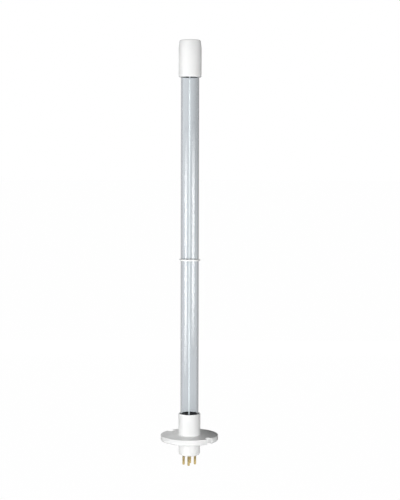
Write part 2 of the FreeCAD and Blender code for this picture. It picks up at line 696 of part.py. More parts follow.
def build_lamp():
    """Every piece of the lamp."""
    build_tube()
    build_cap()
    build_ring()
    build_base()
    for number, corner in enumerate(PIN_CORNERS, start=1):
        build_pin(number, corner)
    socket_cement = "Sizes.cement_length"
    build_cement("base_cement", f"({MOUTH} - Sizes.cement_setback - {socket_cement})", socket_cement)
    build_cement("cap_cement", f"({CAP_MOUTH} + Sizes.cement_setback)", socket_cement)
    band_cement = "(Sizes.ring_height - 2 * Sizes.ring_cement_setback)"
    build_cement("ring_cement", f"({RING_BOTTOM} + Sizes.ring_cement_setback)", band_cement)
    for end in ENDS:
        build_supports_and_foils(end)
        build_filament(end)
    for number, side in enumerate((1, -1), start=1):
        build_crimp(number, side)
    build_outer_leads()
    build_return_leads()
    build_pellet()


NODES = (
    ["quartz_tube", "top_cap", "centre_ring", "lamp_base"]
    + ["base_cement", "cap_cement", "ring_cement", "amalgam_pellet"]
    + [f"contact_pin_{number}" for number in (1, 2, 3, 4)]
    + [f"{end}_filament" for end in ENDS]
    + [f"{end}_support_{number}" for end in ENDS for number in (1, 2)]
    + [f"{end}_foil_{number}" for end in ENDS for number in (1, 2)]
    + [f"{end}_outer_lead_{number}" for end in ENDS for number in (1, 2)]
    + [f"return_lead_{number}" for number in (1, 2)]
    + [f"crimp_sleeve_{number}" for number in (1, 2)]
)

build_lamp()
document.recompute()

for thing in document.Objects:
    if "Invalid" in thing.State or "Error" in thing.State:
        raise RuntimeError(f"{thing.Label} failed: {thing.State}")

os.makedirs("parts", exist_ok=True)
for label in NODES:
    shape = document.getObjectsByLabel(label)[0].Shape
    if shape.isNull() or not shape.isValid() or len(shape.Solids) != 1:
        raise RuntimeError(f"{label} isn't one sound solid")

for label in NODES:
    shape = document.getObjectsByLabel(label)[0].Shape
    shape.exportStep(f"parts/{label}.step")
    print(f"{label}: {shape.Volume:.2f} mm3")
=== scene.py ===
"""Single-ended ultraviolet lamp: its finished pieces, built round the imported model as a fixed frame.

Everything is in metres in the model's own frame: the origin is the centre of the contact pins on the
base's bottom face, +Z runs up the tube, and the flange notches lie on +X and -X.
"""

import logging
import math
from collections.abc import Callable, Iterable, Mapping, Sequence
from dataclasses import dataclass
from enum import Enum
from typing import Any

import bmesh
import bpy
from mathutils import Euler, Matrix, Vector


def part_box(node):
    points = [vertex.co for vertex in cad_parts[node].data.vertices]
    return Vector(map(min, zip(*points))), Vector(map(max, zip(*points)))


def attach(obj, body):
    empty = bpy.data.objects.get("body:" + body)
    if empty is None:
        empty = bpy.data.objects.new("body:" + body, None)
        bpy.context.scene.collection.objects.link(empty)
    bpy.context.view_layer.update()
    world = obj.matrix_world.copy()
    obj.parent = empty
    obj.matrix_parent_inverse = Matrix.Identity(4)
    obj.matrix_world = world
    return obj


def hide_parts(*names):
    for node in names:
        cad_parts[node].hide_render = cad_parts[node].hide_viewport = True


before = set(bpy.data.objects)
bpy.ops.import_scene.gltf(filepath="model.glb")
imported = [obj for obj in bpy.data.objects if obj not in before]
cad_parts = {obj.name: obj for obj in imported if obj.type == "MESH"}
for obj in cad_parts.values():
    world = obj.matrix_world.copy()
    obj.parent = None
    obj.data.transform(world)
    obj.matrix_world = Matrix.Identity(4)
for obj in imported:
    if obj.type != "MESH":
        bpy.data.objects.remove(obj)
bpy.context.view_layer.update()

BODY = "root"
MM = 0.001
FULL_TURN = 2 * math.pi
SHARP_ANGLE = math.radians(32)
WHITE = "#ffffff"

log = logging.getLogger("lamp")

Point = tuple[float, float]
Loop = list[Vector]


def from_hex(shade: str) -> tuple[float, float, float, float]:
    """Turn an sRGB hex colour into linear light.

    Args:
        shade: colour written as "#rrggbb".

    Returns:
        Linear red, green, blue and an alpha of one.
    """
    channels = [int(shade[place : place + 2], 16) / 255 for place in (1, 3, 5)]
    linear = [c / 12.92 if c <= 0.04045 else ((c + 0.055) / 1.055) ** 2.4 for c in channels]
    return linear[0], linear[1], linear[2], 1.0


def add_node(
    tree: bpy.types.NodeTree,
    kind: str,
    settings: Mapping[str, Any] | None = None,
    inputs: Mapping[str | int, Any] | None = None,
) -> bpy.types.Node:
    """Add one node, and set or link its inputs.

    Args:
        tree: node tree that gets the node.
        kind: Blender's name for the node's type.
        settings: properties of the node.
        inputs: input sockets by name or number, each with a value or with the output socket that feeds it.

    Returns:
        The new node.
    """
    node = tree.nodes.new(kind)
    for name, value in (settings or {}).items():
        setattr(node, name, value)
    for place, value in (inputs or {}).items():
        if isinstance(value, bpy.types.NodeSocket):
            tree.links.new(value, node.inputs[place])
        else:
            node.inputs[place].default_value = value
    return node


def blank_material(name: str) -> bpy.types.Material:
    """Make a material whose node tree is empty.

    Args:
        name: name of the material.

    Returns:
        The material.
    """
    material = bpy.data.materials.new(name)
    material.use_nodes = True
    material.node_tree.nodes.clear()
    return material


def per_metre(size_mm: float) -> float:
    """Texture scale whose pattern repeats about once in a size given in millimetres."""
    return 1 / (size_mm * MM)


@dataclass(frozen=True)
class Finish:
    """A surface with slight colour, gloss and relief variation, as every real one has.

    The shade drifts to far_shade in patches of patch_mm, roughness drifts over the same patches, and
    relief_mm is the width of the surface's fine relief, relief_depth_mm its depth. grain stretches both
    patterns: a small number along an axis draws them out along it. The details are the number of finer
    copies that each pattern carries.
    """

    name: str
    shade: str
    far_shade: str
    roughness: float
    far_roughness: float
    patch_mm: float
    relief_mm: float
    relief_depth_mm: float
    metallic: float = 0.0
    ior: float = 1.5
    transmission: float = 0.0
    subsurface: float = 0.0
    grain: tuple[float, float, float] = (1.0, 1.0, 1.0)
    patch_detail: float = 3.0
    relief_detail: float = 2.0

    def build(self) -> bpy.types.Material:
        """Make the material.

        Returns:
            The material, with its nodes.
        """
        material = blank_material(self.name)
        tree = material.node_tree
        place = add_node(tree, "ShaderNodeTexCoord").outputs["Object"]
        grain = add_node(tree, "ShaderNodeMapping", inputs={"Vector": place, "Scale": self.grain})
        shader = self.shader(tree, grain.outputs["Vector"])
        add_node(tree, "ShaderNodeOutputMaterial", inputs={"Surface": self.surface(tree, shader)})
        return material

    def shader(self, tree: bpy.types.NodeTree, place: bpy.types.NodeSocket) -> bpy.types.Node:
        """Principled shader with its patterns.

        Args:
            tree: the material's node tree.
            place: where on the piece a point lies, in metres.

        Returns:
            The shader node.
        """
        patch = add_node(
            tree,
            "ShaderNodeTexNoise",
            inputs={"Vector": place, "Scale": per_metre(self.patch_mm), "Detail": self.patch_detail},
        )
        shade = add_node(
            tree,
            "ShaderNodeMix",
            {"data_type": "RGBA"},
            {0: patch.outputs["Fac"], 6: from_hex(self.shade), 7: from_hex(self.far_shade)},
        )
        gloss = add_node(
            tree,
            "ShaderNodeMapRange",
            inputs={"Value": patch.outputs["Fac"], "To Min": self.roughness, "To Max": self.far_roughness},
        )
        return add_node(
            tree,
            "ShaderNodeBsdfPrincipled",
            inputs={
                "Base Color": shade.outputs[2],
                "Roughness": gloss.outputs["Result"],
                "Metallic": self.metallic,
                "IOR": self.ior,
                "Transmission Weight": self.transmission,
                "Subsurface Weight": self.subsurface,
                "Subsurface Radius": (MM, MM, MM),
                "Normal": self.relief(tree, place),
            },
        )

    def relief(self, tree: bpy.types.NodeTree, place: bpy.types.NodeSocket) -> bpy.types.NodeSocket:
        """Fine relief of the surface.

        Args:
            tree: the material's node tree.
            place: where on the piece a point lies, in metres.

        Returns:
            The socket that gives the bumped normal.
        """
        height = add_node(
            tree,
            "ShaderNodeTexNoise",
            inputs={"Vector": place, "Scale": per_metre(self.relief_mm), "Detail": self.relief_detail},
        )
        bump = add_node(
            tree,
            "ShaderNodeBump",
            inputs={"Distance": self.relief_depth_mm * MM, "Height": height.outputs["Fac"]},
        )
        return bump.outputs["Normal"]

    def surface(self, tree: bpy.types.NodeTree, shader: bpy.types.Node) -> bpy.types.NodeSocket:
        """What reaches the material's output."""
        return shader.outputs["BSDF"]


@dataclass(frozen=True)
class ClearFinish(Finish):
    """A clear body that lets lamp light through to what stands behind it."""

    shadow: str = WHITE

    def surface(self, tree: bpy.types.NodeTree, shader: bpy.types.Node) -> bpy.types.NodeSocket:
        """Shader as it is, and a plain tinted filter to shadow rays.

        Args:
            tree: the material's node tree.
            shader: the glass shader.

        Returns:
            The mixed shader's socket.
        """
        ray = add_node(tree, "ShaderNodeLightPath")
        clear = add_node(tree, "ShaderNodeBsdfTransparent", inputs={"Color": from_hex(self.shadow)})
        mixed = add_node(
            tree,
            "ShaderNodeMixShader",
            inputs={0: ray.outputs["Is Shadow Ray"], 1: shader.outputs["BSDF"], 2: clear.outputs["BSDF"]},
        )
        return mixed.outputs["Shader"]


@dataclass(frozen=True)
class TurnedFinish(Finish):
    """Metal from a lathe: fine rings round its length, ring_mm apart and a little wavy."""

    ring_mm: float = 0.4
    ring_waver: float = 0.6
    ring_strength: float = 0.6

    def relief(self, tree: bpy.types.NodeTree, place: bpy.types.NodeSocket) -> bpy.types.NodeSocket:
        """Tool rings that follow each other along Z.

        Args:
            tree: the material's node tree.
            place: where on the piece a point lies, in metres.

        Returns:
            The socket that gives the bumped normal.
        """
        rings = add_node(
            tree,
            "ShaderNodeTexWave",
            {"wave_type": "BANDS", "bands_direction": "Z"},
            {
                "Vector": place,
                "Scale": per_metre(self.ring_mm) / FULL_TURN,
                "Distortion": self.ring_waver,
            },
        )
        bump = add_node(
            tree,
            "ShaderNodeBump",
            inputs={
                "Strength": self.ring_strength,
                "Distance": self.relief_depth_mm * MM,
                "Height": rings.outputs["Fac"],
            },
        )
        return bump.outputs["Normal"]


class Finishes(Enum):
    """Every material of the lamp, by the record's slot that it stands for."""

    # Fused quartz, drawn as tube: water clear, with faint draw lines along it.
    QUARTZ = ClearFinish(
        "fused_quartz", "#f8fbfe", "#f5f9fc", 0.0, 0.02, 40, 4, 0.0004,
        ior=1.458, transmission=1.0, grain=(1.0, 1.0, 0.01), shadow="#fbfcfc",
    )
    # Steatite ceramic, pressed and white glazed: bright, glossy, with the glaze's slight orange peel.
    CERAMIC = Finish(
        "glazed_steatite", "#f7f7f6", "#f2f3f3", 0.16, 0.24, 9, 1.6, 0.006, ior=1.53, subsurface=0.04
    )
    # Fired sealing cement, dull and grainy; its near-black colour and weak gloss are painted shade, standing
    # in for the shade inside the cap's and collar's mouths.
    CEMENT = Finish("fired_sealing_cement_and_painted_shade", "#0e0f10", "#1c1d1e", 0.75, 0.9, 1.2, 0.35, 0.05, ior=1.15)
    # Brass bar, turned: warm yellow with fine tool rings.
    BRASS = TurnedFinish(
        "turned_brass", "#d8c492", "#b9a36a", 0.24, 0.38, 2.5, 0.4, 0.004, metallic=1.0, ring_mm=0.4
    )
    # Nickel wire, drawn: warm grey with lengthwise lines.
    NICKEL = Finish(
        "drawn_nickel", "#b5b1a8", "#a29e95", 0.28, 0.4, 1.5, 0.2, 0.003, metallic=1.0, grain=(1, 1, 0.1)
    )
    # Tungsten wire, coiled and coated: dull grey, whitened by the oxide.
    TUNGSTEN = Finish("coated_tungsten", "#8a8a8c", "#c9c8c4", 0.5, 0.75, 0.4, 0.1, 0.01, metallic=0.6)
    # Molybdenum foil, rolled: pale grey with rolling lines.
    MOLYBDENUM = Finish(
        "rolled_molybdenum", "#a9aaac", "#97989b", 0.3, 0.42, 1.2, 0.15, 0.002,
        metallic=1.0, grain=(1, 1, 0.1),
    )
    # Fluoropolymer sleeve, extruded: white, waxy, a little translucent.
    COATED_WIRE = Finish(
        "extruded_fluoropolymer", "#e8e8e4", "#dfdfdb", 0.32, 0.42, 4, 0.8, 0.004, ior=1.36, subsurface=0.15
    )
    # Amalgam, set from the melt: bright silver with a dull skin.
    AMALGAM = Finish("set_amalgam", "#c6c7ca", "#a4a6aa", 0.18, 0.4, 0.8, 0.3, 0.01, metallic=1.0)

    @property
    def material(self) -> bpy.types.Material:
        """The finish's material, made on first use."""
        return bpy.data.materials.get(self.value.name) or self.value.build()

    @property
    def slot(self) -> str:
        """The record's slot that this finish stands for."""
        return self.name.lower()


def rounded(corners: Sequence[tuple[float, float, float]], closed: bool, steps: int = 6) -> list[Point]:
    """Round the corners of an outline with arcs.

    Args:
        corners: across, along and rounding radius of each corner.
        closed: whether the last corner joins the first.
        steps: arc spans at each rounded corner.

    Returns:
        Points of the outline in order.
    """
    count = len(corners)
    points: list[Point] = []
    for index, (across, along, radius) in enumerate(corners):
        here = Vector((across, along))
        at_end = not closed and index in (0, count - 1)
        if at_end or radius <= 0:
            points.append((across, along))
            continue
        before = (Vector(corners[index - 1][:2]) - here).normalized()
        after = (Vector(corners[(index + 1) % count][:2]) - here).normalized()
        half = before.angle(after) / 2
        centre = here + (before + after).normalized() * (radius / math.sin(half))
        first = here + before * (radius / math.tan(half)) - centre
        last = here + after * (radius / math.tan(half)) - centre
        sweep = first.angle_signed(last)
        start = math.atan2(first.y, first.x)
        for step in range(steps + 1):
            angle = start - sweep * step / steps
            points.append((centre.x + radius * math.cos(angle), centre.y + radius * math.sin(angle)))
    return points


def eased(share: float) -> float:
    """Share from 0 to 1 that starts and stops gently."""
    return share * share * (3 - 2 * share)


def even_angles(count: int) -> list[float]:
    """Angles that divide a full turn evenly."""
    return [FULL_TURN * index / count for index in range(count)]


def circle(radius: float, height: float, angles: Iterable[float]) -> Loop:
    """Level circle about the lamp's axis, in millimetres, with a point at each angle."""
    return [Vector((radius * math.cos(a), radius * math.sin(a), height)) for a in angles]


def mesh_piece(name: str, loops: Sequence[Loop], joined: bool = False) -> bpy.types.Object:
    """Make a piece whose surface runs through level loops of points.

    Args:
        name: name of the piece.
        loops: loops in millimetres, each with as many points; a loop of one point closes an end.
        joined: whether the last loop joins the first, as in a ring.

    Returns:
        The piece, linked to the scene.
    """
    shape = bmesh.new()
    add_skin(shape, loops, joined)
    bmesh.ops.recalc_face_normals(shape, faces=shape.faces)
    piece = link_mesh(name, shape)
    shade_cleanly(piece.data)
    return piece


def add_skin(shape: bmesh.types.BMesh, loops: Sequence[Loop], joined: bool = False) -> None:
    """Join loops of points with faces.

    Args:
        shape: mesh that gets the faces.
        loops: loops in millimetres; a loop of one point is a pole.
        joined: whether the last loop joins the first.
    """
    rows = [[shape.verts.new(spot * MM) for spot in loop] for loop in loops]
    pairs = list(zip(rows, rows[1:]))
    if joined:
        pairs.append((rows[-1], rows[0]))
    for one, two in pairs:
        count = max(len(one), len(two))
        for index in range(count):
            following = (index + 1) % count
            if len(one) == 1:
                shape.faces.new((one[0], two[following], two[index]))
            elif len(two) == 1:
                shape.faces.new((one[index], one[following], two[0]))
            else:
                shape.faces.new((one[index], one[following], two[following], two[index]))


def link_mesh(name: str, shape: bmesh.types.BMesh) -> bpy.types.Object:
    """Turn a mesh under construction into an object of the scene.

    Args:
        name: name of the object and of its mesh.
        shape: the mesh, which is freed.

    Returns:
        The object.
    """
    mesh = bpy.data.meshes.new(name)
    shape.to_mesh(mesh)
    shape.free()
    thing = bpy.data.objects.new(name, mesh)
    bpy.context.scene.collection.objects.link(thing)
    return thing


def shade_cleanly(mesh: bpy.types.Mesh) -> None:
    """Smooth shading, broken only at edges sharper than SHARP_ANGLE."""
    mesh.shade_smooth()
    mesh.set_sharp_from_angle(angle=SHARP_ANGLE)


def turned(name: str, outline: Sequence[Point], closed: bool, spans: int = 128) -> bpy.types.Object:
    """Turn an outline of radius and height pairs about the lamp's axis.

    Args:
        name: name of the piece.
        outline: radius and height of each point, in millimetres.
        closed: whether the outline is a ring's section, and otherwise it runs from axis to axis.
        spans: faces round the turn.

    Returns:
        The piece.
    """
    angles = even_angles(spans)
    loops = [circle(radius, height, angles if radius else [0]) for radius, height in outline]
    return mesh_piece(name, loops, joined=closed)


def settle(piece: bpy.types.Object, node: str, finish: Finishes) -> None:
    """Dress a piece, let it ride on the lamp and stand for its node.

    Args:
        piece: the finished piece.
        node: the node that it stands for.
        finish: its finish.
    """
    piece.data.materials.clear()
    piece.data.materials.append(finish.material)
    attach(piece, BODY)
    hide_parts(node)
    log.info("%s: %d faces, %s", piece.name, len(piece.data.polygons), finish.value.name)


def reach(node: str) -> tuple[float, float, float]:
    """Half width, bottom and top of a node, in millimetres."""
    low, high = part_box(node)
    return (high.x - low.x) / 2 / MM, low.z / MM, high.z / MM


@dataclass
class QuartzTube:
    """Clear tube, hot-formed down to a flat pinch seal at each end, and hollow between the seals."""

    wall: float = 1.0
    shoulder: float = 3.6
    pinch: float = 9.0
    pinch_half_width: float = 7.0
    pinch_half_thickness: float = 1.5
    throat_half_width: float = 5.5
    throat_half_thickness: float = 0.8
    end_rounding: float = 0.35
    # Inset and setback of the loops on a pinch's rounded end, as shares of its rounding.
    end_steps: tuple[Point, ...] = ((0.0, 1.0), (0.3, 0.3), (1.0, 0.0))
    side_share: float = 2 / 3
    spans: int = 128
    shoulder_steps: int = 12
    barrel_steps: int = 24

    def flattened(
        self, radius: float, half_width: float, half_thickness: float, share: float, height: float
    ) -> Loop:
        """Section part of the way from a circle to a pinch's slot shape.

        Args:
            radius: the circle's radius.
            half_width: half of the slot's width, along Y.
            half_thickness: half of the slot's thickness, along X.
            share: 0 at the circle and 1 at the slot.
            height: level of the section.

        Returns:
            The section's points, in millimetres.
        """
        loop = []
        quarter = math.pi / 2
        side = quarter * self.side_share
        straight = half_width - half_thickness
        for angle in even_angles(self.spans):
            folded = math.asin(math.sin(angle))
            if abs(folded) <= side:
                spot = Vector((half_thickness, straight * folded / side))
            else:
                turn = quarter * (abs(folded) - side) / (quarter - side)
                end_y = straight + half_thickness * math.sin(turn)
                spot = Vector((half_thickness * math.cos(turn), math.copysign(end_y, folded)))
            spot.x = math.copysign(spot.x, math.cos(angle))
            round_spot = Vector((radius * math.cos(angle), radius * math.sin(angle)))
            mixed = round_spot.lerp(spot, share)
            loop.append(Vector((mixed.x, mixed.y, height)))
        return loop

    def shoulder_loops(
        self, radius: float, half_width: float, half_thickness: float, start: float, way: float
    ) -> list[Loop]:
        """Loops from the barrel's end to the neck, easing in and out as drawn quartz does.

        Args:
            radius: the barrel's radius.
            half_width: half of the neck's width.
            half_thickness: half of the neck's thickness.
            start: level of the barrel's end.
            way: 1 up the lamp and -1 down it.

        Returns:
            The loops, without the barrel's own last one.
        """
        loops = []
        for step in range(1, self.shoulder_steps + 1):
            part = step / self.shoulder_steps
            height = start + way * self.shoulder * part
            loops.append(self.flattened(radius, half_width, half_thickness, eased(part), height))
        return loops

    def skin(
        self, radius: float, half_width: float, half_thickness: float, low: float, high: float
    ) -> list[Loop]:
        """Barrel with a shoulder at each end, from the lower neck to the upper one.

        Args:
            radius: the barrel's radius.
            half_width: half of the necks' width.
            half_thickness: half of the necks' thickness.
            low: level of the barrel's lower end.
            high: level of its upper end.

        Returns:
            The loops from bottom to top.
        """
        angles = even_angles(self.spans)
        lower = self.shoulder_loops(radius, half_width, half_thickness, low, -1)
        upper = self.shoulder_loops(radius, half_width, half_thickness, high, 1)
        levels = [low + (high - low) * step / self.barrel_steps for step in range(self.barrel_steps + 1)]
        return lower[::-1] + [circle(radius, level, angles) for level in levels] + upper

    def pinch_end(self, neck: float, way: float) -> list[Loop]:
        """Pinch from its neck out to its rounded, closed end.

        Args:
            neck: level of the neck.
            way: 1 up the lamp and -1 down it.

        Returns:
            The loops, the last of them a pole.
        """
        end = neck + way * self.pinch
        loops = []
        for inset, back in self.end_steps:
            less = self.end_rounding * inset
            height = end - way * self.end_rounding * back
            width, thickness = self.pinch_half_width - less, self.pinch_half_thickness - less
            loops.append(self.flattened(0, width, thickness, 1, height))
        return loops + [[Vector((0, 0, end))]]

    def build(self) -> None:
        """Make the tube and stand it in for its node."""
        radius, bottom, top = reach("quartz_tube")
        low = bottom + self.pinch + self.shoulder
        high = top - self.pinch - self.shoulder
        outer = self.skin(radius, self.pinch_half_width, self.pinch_half_thickness, low, high)
        lower_end = self.pinch_end(bottom + self.pinch, -1)
        upper_end = self.pinch_end(top - self.pinch, 1)
        inner = self.skin(radius - self.wall, self.throat_half_width, self.throat_half_thickness, low, high)
        lower_pole = [Vector((0, 0, inner[0][0].z))]
        upper_pole = [Vector((0, 0, inner[-1][0].z))]
        shape = bmesh.new()
        add_skin(shape, lower_end[::-1] + outer + upper_end)
        bmesh.ops.recalc_face_normals(shape, faces=shape.faces)
        outside = set(shape.faces)
        add_skin(shape, [lower_pole] + inner + [upper_pole])
        hollow = [face for face in shape.faces if face not in outside]
        bmesh.ops.recalc_face_normals(shape, faces=hollow)
        bmesh.ops.reverse_faces(shape, faces=hollow)
        piece = link_mesh("clear_tube", shape)
        shade_cleanly(piece.data)
        settle(piece, "quartz_tube", Finishes.QUARTZ)


@dataclass
class TopCap:
    """White cap over the tube's far end: blind bore, slightly tapered shoulder, rounded crown."""

    bore: float = 8.7
    roof: float = 2.0
    shoulder_drop: float = 7.0
    shoulder_inset: float = 0.8
    crown_rounding: float = 1.5
    shoulder_rounding: float = 14.0
    mouth_rounding: float = 0.3
    bore_edge_rounding: float = 0.08
    bore_rounding: float = 0.6
    arc_steps: int = 8

    def build(self) -> None:
        """Make the cap and stand it in for its node."""
        radius, mouth, top = reach("top_cap")
        outline = rounded(
            (
                (0, top - self.roof, 0),
                (self.bore, top - self.roof, self.bore_rounding),
                (self.bore, mouth, self.bore_edge_rounding),
                (radius, mouth, self.mouth_rounding),
                (radius, top - self.shoulder_drop, self.shoulder_rounding),
                (radius - self.shoulder_inset, top, self.crown_rounding),
                (0, top, 0),
            ),
            closed=False,
            steps=self.arc_steps,
        )
        settle(turned("end_cap", outline, closed=False), "top_cap", Finishes.CERAMIC)


@dataclass
class CentreRing:
    """Thin white ring round the middle of the tube, over its own cement and the return leads."""

    bore: float = 8.7
    rounding: float = 0.3
    bore_rounding: float = 0.08
    arc_steps: int = 4

    def build(self) -> None:
        """Make the ring and stand it in for its node."""
        radius, low, high = reach("centre_ring")
        outline = rounded(
            (
                (self.bore, low, self.bore_rounding),
                (radius, low, self.rounding),
                (radius, high, self.rounding),
                (self.bore, high, self.bore_rounding),
            ),
            closed=True,
            steps=self.arc_steps,
        )
        settle(turned("lead_ring", outline, closed=True), "centre_ring", Finishes.CERAMIC)


@dataclass
class LampBase:
    """White moulding: collar round the tube, flange with two opposite notches, boss over the pins."""

    bore: float = 8.7
    chamber: float = 7.6
    floor_top: float = 6.0
    step: float = 17.0
    boss_radius: float = 9.5
    boss_rounding: float = 2.0
    boss_foot: float = 0.4
    collar_radius: float = 9.7
    collar_foot: float = 0.4
    mouth_rounding: float = 0.3
    bore_edge_rounding: float = 0.08
    flange_bottom: float = 13.2
    flange_top: float = 18.2
    rim_rounding: float = 0.6
    rim_foot_rounding: float = 1.4
    notch_half: float = 2.9
    notch_depth: float = 5.0
    notch_corner: float = 0.7
    notch_spans: int = 10
    corner_spans: int = 6
    rim_spans: int = 44
    arc_steps: int = 6
    # Angles on the round collar and boss that face the notch's end and its side.
    notch_end_angle: float = math.radians(17.5)
    notch_side_angle: float = math.radians(20.0)
    # Over this angle past the notch, the rim's lower rounding grows to its full size.
    rounding_run: float = math.radians(7)

    def quarter(self, radius: float) -> list[tuple[Vector, Vector, float, float]]:
        """A quarter of the flange's outline, from the middle of a notch to the open rim.

        Args:
            radius: the flange's radius.

        Returns:
            For each point its place, its outward normal, the angle of the matching point on the round
            parts, and the share of the full lower rounding there.
        """
        centre = Vector((radius - self.notch_depth + self.notch_half, 0))
        rows = []
        for step in range(self.notch_spans + 1):
            turn = math.pi - math.pi / 2 * step / self.notch_spans
            out = Vector((math.cos(turn), math.sin(turn)))
            match = self.notch_end_angle * step / self.notch_spans
            rows.append((centre + out * self.notch_half, -out, match, 0.0))
        corner_y = self.notch_half + self.notch_corner
        within = radius - self.notch_corner
        corner = Vector((math.sqrt(within**2 - corner_y**2), corner_y))
        corner_end = math.atan2(corner.y, corner.x)
        for step in range(self.corner_spans + 1):
            part = step / self.corner_spans
            turn = -math.pi / 2 + (corner_end + math.pi / 2) * part
            out = Vector((math.cos(turn), math.sin(turn)))
            match = self.notch_end_angle + (self.notch_side_angle - self.notch_end_angle) * (part + 1) / 2
            rows.append((corner + out * self.notch_corner, out, match, 0.0))
        for step in range(1, self.rim_spans + 1):
            part = step / self.rim_spans
            turn = corner_end + (math.pi / 2 - corner_end) * part
            out = Vector((math.cos(turn), math.sin(turn)))
            match = self.notch_side_angle + (math.pi / 2 - self.notch_side_angle) * part
            grown = min(1.0, (turn - corner_end) / self.rounding_run)
            rows.append((out * radius, out, match, eased(grown)))
        return rows

    def outline(self, radius: float) -> list[tuple[Vector, Vector, float, float]]:
        """The whole outline of the flange, mirrored from its first quarter.

        Args:
            radius: the flange's radius.

        Returns:
            Rows for all four quarters, as quarter gives them.
        """
        first = self.quarter(radius)
        second = [
            (Vector((-p.x, p.y)), Vector((-n.x, n.y)), math.pi - match, grown)
            for p, n, match, grown in reversed(first[:-1])
        ]
        upper = first + second
        lower = [
            (Vector((p.x, -p.y)), Vector((n.x, -n.y)), FULL_TURN - match, grown)
            for p, n, match, grown in reversed(upper[1:-1])
        ]
        return upper + lower

    def rim_loop(self, rows: Sequence[tuple[Vector, Vector, float, float]], turn: float, upper: bool) -> Loop:
        """Loop on the rim's upper or lower rounding.

        Args:
            rows: the flange's outline.
            turn: angle round the rounding, 0 at the rim's side and a quarter turn at the flat face.
            upper: whether it is the upper rounding.

        Returns:
            The loop's points, in millimetres.
        """
        loop = []
        for place, out, _, grown in rows:
            if upper:
                rounding = self.rim_rounding
                height = self.flange_top - rounding * (1 - math.sin(turn))
            else:
                rounding = self.rim_rounding + (self.rim_foot_rounding - self.rim_rounding) * grown
                height = self.flange_bottom + rounding * (1 - math.sin(turn))
            spot = place - out * rounding * (1 - math.cos(turn))
            loop.append(Vector((spot.x, spot.y, height)))
        return loop

    def build(self) -> None:
        """Make the moulding, drill it for the pins and stand it in for its node."""
        low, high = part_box("lamp_base")
        radius = (high.y - low.y) / 2 / MM
        mouth = high.z / MM
        rows = self.outline(radius)
        angles = [match for _, _, match, _ in rows]
        turns = [math.pi / 2 * step / self.arc_steps for step in range(self.arc_steps + 1)]
        boss = rounded(
            (
                (0, 0, 0),
                (self.boss_radius, 0, self.boss_rounding),
                (self.boss_radius, self.flange_bottom, self.boss_foot),
                (self.boss_radius + 2 * self.boss_foot, self.flange_bottom, 0),
            ),
            closed=False,
        )
        collar = rounded(
            (
                (self.collar_radius + 2 * self.collar_foot, self.flange_top, 0),
                (self.collar_radius, self.flange_top, self.collar_foot),
                (self.collar_radius, mouth, self.mouth_rounding),
                (self.bore, mouth, self.bore_edge_rounding),
                (self.bore, self.step, 0),
                (self.chamber, self.step, 0),
                (self.chamber, self.floor_top, self.mouth_rounding),
                (0, self.floor_top, 0),
            ),
            closed=False,
        )
        under = [self.rim_loop(rows, turn, upper=False) for turn in reversed(turns)]
        over = [self.rim_loop(rows, turn, upper=True) for turn in turns]
        loops = [[Vector((0, 0, 0))]] + [circle(r, z, angles) for r, z in boss[1:]]
        loops += between(loops[-1], under[0]) + under + over
        collar_loops = [circle(r, z, angles) for r, z in collar[:-1]] + [[Vector((0, 0, self.floor_top))]]
        loops += between(over[-1], collar_loops[0]) + collar_loops
        piece = mesh_piece("notched_base", loops)
        for node in ContactPins.nodes():
            ContactPins().drill(piece, node)
        settle(piece, "lamp_base", Finishes.CERAMIC)


def between(one: Loop, two: Loop, steps: int = 4) -> list[Loop]:
    """Loops spaced evenly between two loops, without the two themselves."""
    return [[a.lerp(b, step / steps) for a, b in zip(one, two)] for step in range(1, steps)]


@dataclass
class ContactPins:
    """Four brass pins: rounded tip, shank, neck through the base's floor, riveted head, solder cup."""

    radius: float = 1.1
    neck_radius: float = 0.9
    head_height: float = 1.0
    cup_radius: float = 0.5
    cup_depth: float = 4.0
    tip_rounding: float = 0.7
    edge_rounding: float = 0.12
    hole_clearance: float = 0.02
    cutter_overrun: float = 1.0
    spans: int = 48
    arc_steps: int = 8

    @staticmethod
    def nodes() -> list[str]:
        """Names of the four pins' nodes."""
        return sorted(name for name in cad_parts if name.startswith("contact_pin_"))

    def middle(self, node: str) -> Vector:
        """Where a pin's own axis meets the base's bottom face, in metres."""
        low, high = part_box(node)
        return Vector(((low.x + high.x) / 2, (low.y + high.y) / 2, 0))

    def build(self) -> None:
        """Make each pin and stand it in for its node."""
        for number, node in enumerate(self.nodes(), start=1):
            head, tip, top = reach(node)
            outline = rounded(
                (
                    (0, tip, 0),
                    (self.radius, tip, self.tip_rounding),
                    (self.radius, 0, self.edge_rounding),
                    (self.neck_radius, 0, 0),
                    (self.neck_radius, top - self.head_height, 0),
                    (head, top - self.head_height, self.edge_rounding),
                    (head, top, self.edge_rounding),
                    (self.cup_radius, top, self.edge_rounding),
                    (self.cup_radius, top - self.cup_depth, 0),
                    (0, top - self.cup_depth, 0),
                ),
                closed=False,
                steps=self.arc_steps,
            )
            piece = turned(f"brass_pin_{number}", outline, closed=False, spans=self.spans)
            move_mesh(piece, self.middle(node))
            settle(piece, node, Finishes.BRASS)

    def drill(self, base: bpy.types.Object, node: str) -> None:
        """Cut one pin's stepped hole through the base's floor.

        Args:
            base: the moulding.
            node: the pin's node.
        """
        head, _, top = reach(node)
        neck = self.neck_radius + self.hole_clearance
        seat = head + self.hole_clearance
        low, high = -self.cutter_overrun, top + self.cutter_overrun
        outline = (
            (0, low),
            (neck, low),
            (neck, top - self.head_height),
            (seat, top - self.head_height),
            (seat, high),
            (0, high),
        )
        cutter = turned("pin_hole", outline, closed=False, spans=self.spans)
        move_mesh(cutter, self.middle(node))
        cut = base.modifiers.new("pin_hole", "BOOLEAN")
        cut.operation = "DIFFERENCE"
        cut.solver = "EXACT"
        cut.object = cutter
        bake_modifiers(base)
        bpy.data.objects.remove(cutter)


def move_mesh(piece: bpy.types.Object, shift: Vector) -> None:
    """Move a piece's points, so that its object stays at the origin."""
    for vertex in piece.data.vertices:
        vertex.co += shift


